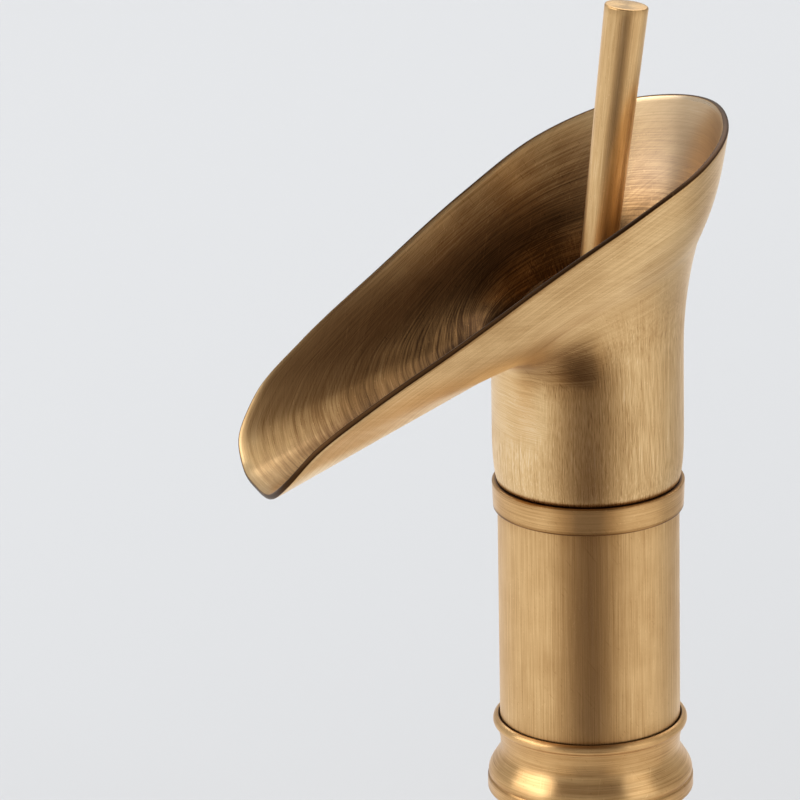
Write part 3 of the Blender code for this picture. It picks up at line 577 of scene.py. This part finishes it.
def smooth_keys(keys, odd, t):
    """Cubic curve through rows of (t, values). It meets its mirror image smoothly at both ends:
    columns in odd change sign there, and the others are level."""
    spans = [(b[0] - a[0]) for a, b in zip(keys, keys[1:])]
    columns = range(1, len(keys[0]))
    k = max(i for i in range(len(spans)) if i == 0 or t >= keys[i][0])
    x = (t - keys[k][0]) / spans[k]

    def chord(i, c):
        return (keys[i + 1][c] - keys[i][c]) / spans[i]

    def tangent(i, c):
        if i in (0, len(keys) - 1):
            return chord(min(i, len(spans) - 1), c) if c - 1 in odd else 0.0
        return (spans[i - 1] * chord(i, c) + spans[i] * chord(i - 1, c)) / (spans[i - 1] + spans[i])

    def value(c):
        low = (2 * x**3 - 3 * x**2 + 1) * keys[k][c] + (x**3 - 2 * x**2 + x) * spans[k] * tangent(k, c)
        high = (3 * x**2 - 2 * x**3) * keys[k + 1][c] + (x**3 - x**2) * spans[k] * tangent(k + 1, c)
        return low + high

    return [value(c) for c in columns]


def bezier(points, x):
    """Point at share x of a Bezier curve of any degree."""
    while len(points) > 1:
        points = [a.lerp(b, x) for a, b in zip(points, points[1:])]
    return points[0]


def head_at(t):
    """HEAD_KEYS' values at share t. The direction and the half width change sign at both ends."""
    return smooth_keys(HEAD_KEYS, (0, 2), t)


def head_meridian(t, side):
    """Outer points from the head's foot to its rim, with the share of the wall that each is up."""
    angle, reach, width, rim_z, turn_z, turn_length = head_at(t)
    angle = radians(angle)
    outward = Vector((side * sin(angle), -cos(angle), 0.0))
    corner = outward * NECK_R + Vector((0, 0, COLLAR_TOP + turn_z * MM))
    rim = Vector((side * width * MM, -reach * MM, COLLAR_TOP + rim_z * MM))
    length = turn_length * MM
    start = corner - Vector((0, 0, length))
    end = corner + (rim - corner).normalized() * length
    foot = [outward * r + Vector((0, 0, HEAD_Z + z)) for r, z in NECK_FOOT]
    points = [(bezier(foot, i / FOOT_STEPS), 0.0) for i in range(FOOT_STEPS + 1)]
    points += [(foot[-1].lerp(start, i / NECK_STEPS), 0.0) for i in range(1, NECK_STEPS)]
    for i in range(TURN_STEPS + 1):
        x = i / TURN_STEPS
        points.append((bezier([start, corner, end], x), TURN_SHARE * x))
    along = (rim - end).normalized()
    bow = outward - Vector((0, 0, 1))
    bow = (bow - along * bow.dot(along)).normalized() * HEAD_BULGE * (1 - (1 - LIP_BULGE) * t * t)
    for i in range(1, WALL_STEPS + 1):
        x = i / WALL_STEPS
        here = end.lerp(rim, x) + bow * sin(pi * x) * (1 - 0.3 * x)
        points.append((here, TURN_SHARE + (1 - TURN_SHARE) * x))
    return points


def skin_normal(grid, i, j):
    """Outward normal of the grid at meridian i, row j, from its neighbours."""
    rows = len(grid[0])
    round_way = grid[(i + 1) % len(grid)][j] - grid[i - 1][j]
    up_way = grid[i][min(j + 1, rows - 1)] - grid[i][max(j - 1, 0)]
    return up_way.cross(round_way).normalized()


def give_round_uv(mesh, count):
    """UV map whose U runs round the rings of count vertices that the mesh was skinned from."""
    layer = mesh.uv_layers.new(name="round")
    rings = len(mesh.vertices) // count
    for face in mesh.polygons:
        places = [mesh.loops[k].vertex_index % count for k in face.loop_indices]
        levels = [mesh.loops[k].vertex_index // count for k in face.loop_indices]
        wraps = max(places) - min(places) > 1
        over = max(levels) - min(levels) > 1
        for k, i, j in zip(face.loop_indices, places, levels):
            u = count if wraps and i == 0 else i
            v = rings if over and j == 0 else j
            layer.data[k].uv = (u / count, v / rings)


def spout_head():
    """Neck, cup and trough in one thin shell with a rounded rim."""
    shares = [i / HEAD_HALF_COUNT for i in range(HEAD_HALF_COUNT + 1)]
    places = [(t, 1) for t in shares] + [(t, -1) for t in reversed(shares[1:-1])]
    meridians = [head_meridian(t, side) for t, side in places]
    grid = [[point for point, _ in meridian] for meridian in meridians]
    climbs = [climb for _, climb in meridians[0]]
    count = len(grid)
    rows = len(grid[0])
    bm = bmesh.new()
    tones, walls, neck_grain, wall_grain, painted_highlights = [], [], [], [], []

    halfway = grid[HEAD_HALF_COUNT // 2]
    paths = [0.0]
    for a, b in zip(halfway, halfway[1:]):
        paths.append(paths[-1] + (b - a).length)

    def crook(i, point):
        """How far a point is in the crook under the trough: 1 at its middle."""
        angle = head_at(places[i][0])[0]
        reach = Vector(point[:2]).length
        return (held(1.6 - abs(angle - CROOK_ANGLE) / CROOK_SPREAD)
                * held(1.4 - abs(point.z - CROOK_Z) / CROOK_HEIGHT)
                * held(1 - (reach - NECK_R) / CROOK_REACH))

    def row_of(points, climb, tone_of, path, painted_highlight=0.0):
        """Vertices and attributes of one row: climb is its share of the wall's height, and path
        its distance over the surface from the foot."""
        made = []
        for i, point in enumerate(points):
            made.append(bm.verts.new(point))
            t, side = places[i]
            angle = radians(head_at(t)[0])
            round_x, round_y = side * sin(angle) * NECK_R, -cos(angle) * NECK_R
            neck_grain.extend((round_x / MM, round_y / MM, point.z / MM / GRAIN_RATIO))
            wall_grain.extend((path / MM, point.x / MM / GRAIN_RATIO, point.y / MM / GRAIN_RATIO))
            # The neck's front, from 8 mm up, and the crook are brushed round like the wall.
            front = held((cos(angle) - 0.55) / 0.3) * held((path - 8 * MM) / (12 * MM))
            walls.append(climb + ROUND_LIFT * max(front, crook(i, point)))
            tones.append(tone_of(i, point))
            # Painted highlight, fading out away from the back of the cup.
            painted_highlights.append(painted_highlight * held(1 - t / PAINTED_HIGHLIGHT_SHARE))
        return made

    def outside_tone(i, point):
        """Dark at the foot's edge, painted shade in the crook under the trough, and painted light
        on the neck's front, the side toward the key lamp.
        """
        foot = held(1 - (point.z - HEAD_Z) / (1.5 * MM))
        front = held((-point.y / NECK_R - 0.55) / 0.3) * held(1 - (point.z - CROOK_Z) / (6 * MM))
        return 0.12 * front - 0.30 * foot - 0.40 * crook(i, point)

    rings = []
    for j in range(rows):
        near_rim = max(0.0, 1 - (rows - 1 - j) / 2)
        rings.append(row_of([grid[i][j] for i in range(count)], climbs[j],
                            lambda i, p, n=near_rim: outside_tone(i, p) - 0.10 * n, paths[j]))

    first = FOOT_STEPS // 2       # the outer row level with the inside's lowest
    inner = []
    for j in range(first, rows):
        share = (j - first) / (rows - 1 - first)
        wall = NECK_WALL + (RIM_WALL - NECK_WALL) * share
        inner.append([grid[i][j] - skin_normal(grid, i, j) * wall for i in range(count)])
    rim_out = [grid[i][-1] for i in range(count)]
    rim_in = inner[-1]
    rise = [(grid[i][-1] - grid[i][-2]).normalized() for i in range(count)]
    for k in range(1, RIM_STEPS):
        a = pi * k / RIM_STEPS
        points = []
        for i in range(count):
            middle = (rim_out[i] + rim_in[i]) / 2
            half = (rim_out[i] - rim_in[i]) / 2
            points.append(middle + half * cos(a) + rise[i] * half.length * RIM_RISE * sin(a))
        # The last step, on the inner edge, is lightened into a painted highlight.
        tone = RIM_TONE if k < RIM_STEPS - 1 else RIM_INNER_TONE
        rings.append(row_of(points, 1.0, lambda i, p, s=tone: s, paths[-1]))

    def inside_tone(depth, near_rim):
        """Painted shade: darker with depth (0 to 1) and toward the lip; lighter at the rim."""
        shade = 0.03 + 0.10 * near_rim + 0.12 * (1 - depth)**5 - 0.42 * depth**1.1
        return lambda i, point: shade - 0.24 * held(places[i][0] / 0.35)

    for j in reversed(range(first, rows)):
        near_rim = max(0.0, 1 - (rows - 1 - j) / 2)
        # The inside rows carry painted shade and the painted highlight, which is full from halfway up
        # the wall.
        # 1 m less the path keeps the inside's grain from repeating the outside's.
        rings.append(row_of(inner[j - first], climbs[j], inside_tone(1 - climbs[j], near_rim),
                            1 - paths[j], PAINTED_HIGHLIGHT_STRENGTH * held(climbs[j] / 0.5)))
    shoulder = HEAD_Z + NECK_SHOULDER
    for r, z in ((NECK_BORE_R, shoulder), (SPIGOT_R + GAP, shoulder), (SPIGOT_R + GAP, HEAD_Z)):
        ring = [Vector((g[0].x / NECK_FOOT_R * r, g[0].y / NECK_FOOT_R * r, z)) for g in grid]
        rings.append(row_of(ring, 0.0, lambda i, p: -0.4, 0.0))
    join_rings(bm, rings, closed=True)
    head = finished("spout_head_surface", bm, "head", "body", "spout_head", tones,
                    {"grain_neck": neck_grain, "grain_wall": wall_grain, "wall": walls,
                     "painted_highlight": painted_highlights})
    give_round_uv(head.data, count)


# ---------------------------------------------------------------- outer turned pieces
SOCKET_CLEARANCE = 0.4 * MM
SLEEVE_WALL = 1.6 * MM
BONNET_WALL = 1.6 * MM
BEAD_REACH = 1.8 * MM             # of the base's bead beyond the column
RIM_HEIGHT = 3.5 * MM             # of the base's upright rim
CAVE_TOP = 12.0 * MM              # of the space for the inlet block's shoulder
COLUMN_R = size("column_sleeve").x / 2
JOINTS = {joint["name"]: joint for joint in frame["joints"]}
LEVER_PIN = Vector(JOINTS["flow_tilt"]["pos_m"])


def base_flange():
    """Foot with an upright rim, a cove and a bead whose lip stands round the column."""
    low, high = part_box("base_flange")
    foot_r = high.x
    top = high.z
    bead_r = COLUMN_R + BEAD_REACH
    socket_r = COLUMN_R + SOCKET_CLEARANCE
    gasket_r = size("base_gasket").x / 2
    gasket_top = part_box("base_gasket")[1].z
    bead_half = bead_r - socket_r
    bead_z = top - bead_half
    foot_line = RIM_HEIGHT + 0.4 * MM
    shoulder = (foot_r - 0.2 * MM, RIM_HEIGHT + 1.0 * MM)
    throat = (COLUMN_R - 0.1 * MM, top * 0.6)
    socket_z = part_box("column_sleeve")[0].z - GAP
    corners = [(gasket_r + GAP, low.z, 0.1 * MM), (foot_r, low.z, 0.3 * MM),
               (foot_r, RIM_HEIGHT, 0.25 * MM), (foot_r - 0.45 * MM, foot_line, 0.1 * MM),
               (*shoulder, 0.4 * MM)]
    steps = 14
    for i in range(1, steps):
        x = i / steps
        sweep = (1 - cos(pi * x)) / 2
        corners.append((shoulder[0] + (throat[0] - shoulder[0]) * sweep,
                        shoulder[1] + (throat[1] - shoulder[1]) * x, 0.0))
    corners += [(*throat, 0.0), (throat[0] + 0.1 * MM, throat[1] + 2.0 * MM, 0.0)]
    corners += [(throat[0] + 0.8 * MM, bead_z - bead_half, 0.25 * MM)]
    corners += arc((bead_r - bead_half, bead_z), bead_half, -35, 90, 12)
    corners += [(socket_r, top - 0.3 * MM, 0.1 * MM), (socket_r, socket_z, 0.0)]
    corners += [(SPIGOT_R + 0.7 * MM, socket_z, 0.0), (SPIGOT_R + 0.7 * MM, CAVE_TOP, 0.0)]
    corners += [(SPIGOT_R - 2.5 * MM, CAVE_TOP, 0.0), (SPIGOT_R - 2.5 * MM, gasket_top + GAP, 0.0)]
    corners += [(gasket_r + GAP, gasket_top + GAP, 0.0)]

    def tone(radius, height):
        """Painted shade: dark under the bead, in the gap round the column and in the line over the
        rim.
        """
        under_bead = max(0.0, 1 - abs(height - (bead_z - bead_half)) / (0.7 * MM))
        socket = 1.0 if abs(radius - socket_r) < 0.2 * MM and height > bead_z else 0.0
        line = max(0.0, 1 - abs(height - foot_line) / (0.5 * MM))
        return -0.05 - 0.22 * under_bead - 0.55 * socket - 0.25 * line

    turned("base_flange_surface", corners, "turned", tone, step=1.2 * MM)


def column_sleeve():
    """Plain tube with softened ends."""
    low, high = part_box("column_sleeve")
    inner = COLUMN_R - SLEEVE_WALL
    corners = [(inner, low.z, 0.2 * MM), (COLUMN_R, low.z, 0.2 * MM), (COLUMN_R, high.z, 0.2 * MM),
               (inner, high.z, 0.2 * MM)]

    def tone(radius, height):
        """Dark toward both ends and inside."""
        ends = max(0.0, 1 - min(height - low.z, high.z - height) / (9 * MM))
        return -0.20 * ends**2 - (0.3 if radius < COLUMN_R - 0.5 * MM else 0.0)

    turned("column_sleeve_surface", corners, "lengthwise", tone)


def upper_collar():
    """Band that tapers a little upward-outward, rounded over at its top edge."""
    low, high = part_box("upper_collar")
    socket_r = COLUMN_R + SOCKET_CLEARANCE - 0.1 * MM
    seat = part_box("column_sleeve")[1].z + GAP
    top_r = high.x
    corners = [(socket_r, low.z, 0.1 * MM), (COLUMN_R + 1.1 * MM, low.z, 0.35 * MM),
               (top_r, high.z, 0.45 * MM), (SPIGOT_R + 0.4 * MM, high.z, 0.1 * MM),
               (SPIGOT_R + 0.4 * MM, seat, 0.0), (socket_r, seat, 0.0)]

    def tone(radius, height):
        """Dark at the lower edge, and painted shade where the ledge runs under the head's foot."""
        on_top = 1.0 if height > high.z - 0.05 * MM and radius < NECK_FOOT_R + 0.35 * MM else 0.0
        return -0.6 * on_top - 0.30 * held(1 - (height - low.z) / (0.9 * MM)) - 0.04

    turned("upper_collar_surface", corners, "turned", tone, step=0.8 * MM)


def bonnet():
    """Dome over the cartridge, round about the lever's pin."""
    low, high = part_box("bonnet")
    pin = LEVER_PIN
    outer = sqrt(high.x**2 + (low.z - pin.z)**2)
    inner = outer - BONNET_WALL
    opening = sqrt(outer**2 - (high.z - pin.z)**2)
    centre = (0.0, pin.z)
    edge_out = atan2(low.z - pin.z, high.x) * 180 / pi
    edge_in = atan2(low.z - pin.z, sqrt(inner**2 - (low.z - pin.z)**2)) * 180 / pi
    top_out = atan2(high.z - pin.z, opening) * 180 / pi
    top_in = atan2(sqrt(inner**2 - opening**2), opening) * 180 / pi
    corners = arc(centre, outer, edge_out, top_out, 16)
    corners[0] = (*corners[0][:2], 0.25 * MM)
    corners[-1] = (*corners[-1][:2], 0.3 * MM)
    inside = arc(centre, inner, top_in, edge_in, 12)
    inside[0] = (*inside[0][:2], 0.3 * MM)
    turned("bonnet_surface", corners + inside, "turned", lambda r, z: -0.10,
           segments=96, step=1.2 * MM)


# ---------------------------------------------------------------- lever
LEVER_LEAN = radians(7.1)         # back from upright, at rest
LEVER_TOP = 89.7 * MM             # pin to the rod's top, along the rod
LEVER_LOW_R = 4.4 * MM
LEVER_TOP_R = 5.5 * MM
LEVER_CLEARANCE = 1.4 * MM        # between the rod and the bonnet's ball
STEM_HOLE_R = 2.9 * MM
STEM_HOLE_DEPTH = 14.6 * MM
SCREW_HOLE_R = 1.5 * MM
SCREW_HEIGHT = 5.0 * MM           # of the screw over the rod's lower end


def lever_rod():
    """Tapered rod with a small chamfered top, a stem hole below and a screw hole behind."""
    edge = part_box("bonnet")[0]
    low = sqrt(edge.x**2 + (edge.z - LEVER_PIN.z)**2) + LEVER_CLEARANCE
    corners = [(0, low, 0.0), (LEVER_LOW_R, low, 0.5 * MM), (LEVER_TOP_R, LEVER_TOP, 0.55 * MM),
               (0, LEVER_TOP, 0.0)]

    def tone(_, height):
        """Darker toward the lower end, and a little lighter on the flat top."""
        head = 0.10 if height > LEVER_TOP - 0.1 * MM else 0.07
        return head - 0.20 * max(0.0, 1 - (height - low) / (16 * MM))

    rod = turned("lever_rod_surface", corners, "lengthwise", tone, body="lever",
                 segments=96, step=1.6 * MM)
    place = Matrix.Translation(LEVER_PIN) @ Matrix.Rotation(-LEVER_LEAN, 4, "X")
    rod.matrix_world = place
    bpy.context.view_layer.update()
    across = Matrix.Translation((0, 0, low + SCREW_HEIGHT)) @ Matrix.Rotation(-pi / 2, 4, "X")
    carve(rod, [cutter("stem_hole", STEM_HOLE_R, low - MM, low + STEM_HOLE_DEPTH, 48, place),
                cutter("screw_hole", SCREW_HOLE_R, 0.0, 8 * MM, 32, place @ across)])


# ---------------------------------------------------------------- clamp under the deck
THREAD_PITCH = 1.25 * MM
THREAD_DEPTH = 0.65 * MM
STUD_CHAMFER = 0.8 * MM
RINGS_PER_PITCH = 8
STUD_SEGMENTS = 36


def mounting_stud():
    """Rod with a helical thread along its whole length and a chamfer at each end."""
    low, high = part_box("mounting_stud")
    radius = (high.x - low.x) / 2
    centre = ((low.x + high.x) / 2, (low.y + high.y) / 2)
    steps = int((high.z - low.z) / THREAD_PITCH * RINGS_PER_PITCH)
    bm = bmesh.new()
    rings = [[bm.verts.new((*centre, low.z))]]
    tones = [0.0]
    for k in range(steps + 1):
        z = low.z + (high.z - low.z) * k / steps
        limit = radius - max(0.0, STUD_CHAMFER - min(z - low.z, high.z - z))
        ring = []
        for i in range(STUD_SEGMENTS):
            a = 2 * pi * i / STUD_SEGMENTS
            wave = ((z / THREAD_PITCH - i / STUD_SEGMENTS) % 1.0) * 2
            groove = min(1.0, 1.25 * abs(1 - wave))
            r = min(limit, radius - THREAD_DEPTH * (1 - groove))
            ring.append(bm.verts.new((centre[0] + r * cos(a), centre[1] + r * sin(a), z)))
            tones.append(0.25 * (groove - 0.6))
        rings.append(ring)
    rings.append([bm.verts.new((*centre, high.z))])
    tones.append(0.0)
    join_rings(bm, rings, closed=False)
    finished("mounting_stud_surface", bm, "plated_steel", "body", "mounting_stud",
             tones)


NUT_SEGMENTS = 96
NUT_ROWS = 4


def mounting_nut():
    """Hexagon nut, its corners turned off at both ends, with a countersunk bore."""
    low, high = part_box("mounting_nut")
    centre = ((low.x + high.x) / 2, (low.y + high.y) / 2)
    corner_r = (high.x - low.x) / 2
    flat_r = corner_r * cos(pi / 6)
    stud_low, stud_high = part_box("mounting_stud")
    bore_r = (stud_high.x - stud_low.x) / 2 + GAP
    bm = bmesh.new()
    rings = []
    tones = []

    def hexagon(a):
        return flat_r / cos((a + pi / 6) % (pi / 3) - pi / 6)

    def ring_of(radius_at, z_at, tone_at=lambda a: 0.0):
        ring = []
        for i in range(NUT_SEGMENTS):
            a = 2 * pi * i / NUT_SEGMENTS
            r = radius_at(a)
            ring.append(bm.verts.new((centre[0] + r * cos(a), centre[1] + r * sin(a), z_at(r))))
            tones.append(tone_at(a))
        rings.append(ring)

    cone = tan(radians(30))
    face_r = flat_r * 0.95

    def worn(a):
        return 0.25 if hexagon(a) > corner_r * 0.985 else 0.05

    ring_of(lambda a: bore_r, lambda r: low.z + 0.5 * MM)
    ring_of(lambda a: bore_r + 0.5 * MM, lambda r: low.z, lambda a: 0.1)
    ring_of(lambda a: face_r, lambda r: low.z, lambda a: 0.1)
    for k in range(NUT_ROWS + 1):
        x = k / NUT_ROWS
        ring_of(hexagon, lambda r, x=x: low.z + (r - face_r) * cone
                + (high.z - low.z - 2 * (r - face_r) * cone) * x, worn)
    ring_of(lambda a: face_r, lambda r: high.z, lambda a: 0.1)
    ring_of(lambda a: bore_r + 0.5 * MM, lambda r: high.z, lambda a: 0.1)
    ring_of(lambda a: bore_r, lambda r: high.z - 0.5 * MM)
    join_rings(bm, rings, closed=True)
    finished("mounting_nut_surface", bm, "raw_brass", "body", "mounting_nut", tones)


# ---------------------------------------------------------------- finishes on the CAD nodes
CAD_FINISH = {
    "base_gasket": "rubber", "body_o_ring": "rubber", "rotor_o_ring": "rubber",
    "seal_hot_port": "rubber", "seal_cold_port": "rubber", "seal_outlet_port": "rubber",
    "horseshoe_pad": "rubber", "horseshoe_washer": "plated_steel", "tie_rod": "plated_steel",
    "stem_pin": "plated_steel", "cartridge_stem": "plated_steel", "lever_grub_screw": "plated_steel",
    "inlet_block": "raw_brass", "valve_body": "raw_brass", "retaining_nut": "raw_brass",
    "riser_tube_hot": "copper", "riser_tube_cold": "copper",
    "cartridge_base": "white_plastic", "cartridge_housing": "white_plastic",
    "cartridge_rotor": "grey_plastic", "disc_carrier": "grey_plastic",
    "fixed_disc": "ceramic", "moving_disc": "ceramic",
}
SOFTENED_EDGE = 0.15 * MM


def finish_cad_nodes():
    for name, finish in CAD_FINISH.items():
        node = frame["nodes"][name]
        node.data.materials.clear()
        node.data.materials.append(FINISHES[finish])
        node.data.shade_smooth()
        node.data.set_sharp_from_angle(angle=SHARP_ANGLE)
        edge = node.modifiers.new("softened_edges", "BEVEL")
        edge.width = SOFTENED_EDGE
        edge.segments = 2
        edge.limit_method = "ANGLE"
        edge.angle_limit = SHARP_ANGLE
        edge.harden_normals = True


# ---------------------------------------------------------------- stage, light and camera
def softbox(name, location, target, width, height, watts):
    """A rectangular lamp that faces the target."""
    light = bpy.data.lights.new(name, "AREA")
    light.shape = "RECTANGLE"
    light.size = width
    light.size_y = height
    light.energy = watts
    lamp = bpy.data.objects.new(name, light)
    bpy.context.scene.collection.objects.link(lamp)
    lamp.location = location
    lamp.rotation_euler = (Vector(target) - lamp.location).to_track_quat("-Z", "Y").to_euler()


PALE_SHEET = (1.0, 0.98, 0.95)
DARK_SHEET = (0.060, 0.022, 0.006)
SHEET_STEP = 1 * MM               # height of each sheet over the one below


def stage_sheet(name, corners, material, only_reflected=False):
    """A flat sheet of the stage. If only_reflected, just reflections see it."""
    mesh = bpy.data.meshes.new(name)
    mesh.from_pydata(corners, [], [(0, 1, 2, 3)])
    mesh.materials.append(material)
    sheet = bpy.data.objects.new(name, mesh)
    bpy.context.scene.collection.objects.link(sheet)
    if only_reflected:
        sheet.visible_camera = False
        sheet.visible_diffuse = False
        sheet.visible_shadow = False


def card(name, corners, colour, glow):
    """A glowing sheet that only reflections see."""
    finish = Finish(name)
    finish.set(base_color=(0.0, 0.0, 0.0, 1.0), roughness=1.0, specular_ior_level=0.0,
               emission_color=(*colour, 1.0), emission_strength=glow)
    stage_sheet(name, corners, finish.material, only_reflected=True)


def square(half, z):
    """Corners of a level square about the Z axis."""
    return [(-half, -half, z), (half, -half, z), (half, half, z), (-half, half, z)]


CAMERA_HEADING = radians(20.0)    # between the camera's level line of sight and the X axis


def seen(right, toward, up):
    """A point given from the camera's side: to its right, toward it and up from the deck."""
    a = CAMERA_HEADING
    return Vector((toward * cos(a) + right * sin(a), -toward * sin(a) + right * cos(a), up))


def studio():
    """Pale floor, pale world, lamps, and the sheets that shape the metal's reflections."""
    floor_z = cad_bounds[0][2] - 0.5 * MM
    pale = Finish("pale_floor").set(base_color=(0.605, 0.62, 0.645, 1.0), roughness=0.9)
    stage_sheet("floor", square(4.0, floor_z), pale)

    world = bpy.data.worlds.new("studio")
    bpy.context.scene.world = world
    world.use_nodes = True
    world.node_tree.nodes["Background"].inputs[0].default_value = (1.0, 0.99, 0.97, 1.0)
    world.node_tree.nodes["Background"].inputs[1].default_value = 0.55
    heart = (0.0, 0.0, 0.10)
    softbox("key", seen(-1.4, 0.3, 1.0), heart, 1.4, 1.2, 15.0)
    softbox("fill", seen(1.3, 0.7, 0.7), heart, 1.0, 1.0, 3.0)
    softbox("top", seen(0.2, -1.0, 1.7), heart, 1.4, 1.0, 11.0)
    softbox("backdrop", seen(0.0, -1.9, 1.6), seen(0.0, -1.5, 0.0), 2.4, 0.8, 12.5)
    # Sheets that only reflections see: the pale floor without the mixer's own shadow, the dark
    # side of the studio, where the photographer stands, as fans on the floor and a curtain
    # overhead, and a dimmer strip on the right.
    low = floor_z + SHEET_STEP
    card("pale_sheet", square(2.5, low), PALE_SHEET, 0.95)
    near, far = 0.13, 1.8
    low += SHEET_STEP
    card("dim_right", [seen(0.15, -0.02, low), seen(1.6, -0.20, low), seen(1.6, -1.6, low),
                       seen(0.15, -0.30, low)], PALE_SHEET, 0.62)
    for name, spread, colour in (("fan_light", 42, (0.66, 0.57, 0.46)),
                                 ("fan_middle", 31, (0.33, 0.24, 0.16)),
                                 ("fan_dark", 19, DARK_SHEET)):
        low += SHEET_STEP
        fan = tan(radians(spread))
        card(name, [seen(-near * fan, near, low), seen(near * fan, near, low),
                    seen(far * fan, far, low), seen(-far * fan, far, low)], colour, 1.0)
    card("dark_overhead", [seen(-0.6, 0.6, 0.5), seen(0.5, 0.6, 0.5),
                           seen(0.5, 0.1, 1.5), seen(-0.6, 0.1, 1.5)], DARK_SHEET, 1.0)


CAMERA_DISTANCE = 1.5694          # from the column's axis, level
CAMERA_HEIGHT = 0.6474


def camera():
    """The photograph's camera."""
    data = bpy.data.cameras.new("camera")
    data.lens = 297.1
    data.sensor_width = 36.0
    data.clip_start = 0.1
    data.clip_end = 30.0
    view = bpy.data.objects.new("camera", data)
    bpy.context.scene.collection.objects.link(view)
    yaw, pitch, roll = radians(-1.722), radians(19.072), radians(-1.018)
    forward = Vector((sin(yaw) * cos(pitch), cos(yaw) * cos(pitch), -sin(pitch)))
    right = Vector((cos(yaw), -sin(yaw), 0.0))
    up = right.cross(forward)
    right, up = right * cos(roll) + up * sin(roll), up * cos(roll) - right * sin(roll)
    axes = [seen(v.x, -v.y, v.z) for v in (right, up, -forward)]
    turn = Matrix(axes).transposed().to_4x4()
    view.matrix_world = Matrix.Translation(seen(0.0, CAMERA_DISTANCE, CAMERA_HEIGHT)) @ turn
    bpy.context.scene.camera = view
    bpy.context.scene.view_settings.view_transform = "Standard"


spout_head()
base_flange()
column_sleeve()
upper_collar()
bonnet()
lever_rod()
mounting_stud()
mounting_nut()
finish_cad_nodes()
studio()
camera()
